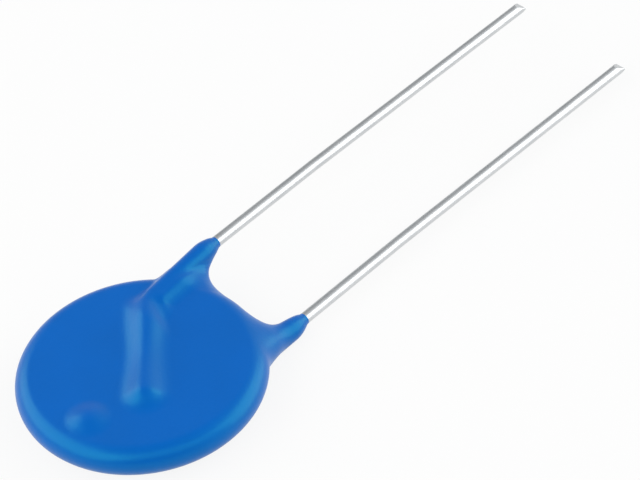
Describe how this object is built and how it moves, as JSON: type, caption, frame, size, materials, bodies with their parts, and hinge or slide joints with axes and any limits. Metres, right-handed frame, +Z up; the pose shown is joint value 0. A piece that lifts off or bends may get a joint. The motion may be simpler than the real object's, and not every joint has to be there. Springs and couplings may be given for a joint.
{
  "type": "metal oxide varistor",
  "caption": "Radial-lead disc varistor: blue epoxy-dipped zinc oxide disc with crossed inner wires under raised ridges and parallel tinned leads for through-hole mounting.",
  "frame": {"origin": "middle of the part's length and width, on the plane that the lower ridge rests on", "axes": "+Z up through the disc's faces, front lead uppermost; +Y along the leads toward their tips; +X across the leads toward the rear lead"},
  "size_m": [0.0156, 0.0478, 0.0035],
  "materials": {
    "epoxy": "satin blue epoxy powder coat, slightly uneven like a dip",
    "zinc_oxide": "matt sintered, dark grey",
    "fired_silver": "matt fired silver paste",
    "solder": "satin lead-free solder",
    "tinned_wire": "bright tin over copper wire"
  },
  "bodies": {
    "root": {"coating": "epoxy", "ceramic_disc": "zinc_oxide", "front_electrode": "fired_silver", "rear_electrode": "fired_silver", "front_solder": "solder", "rear_solder": "solder", "front_lead": "tinned_wire", "rear_lead": "tinned_wire"}
  },
  "joints": []
}
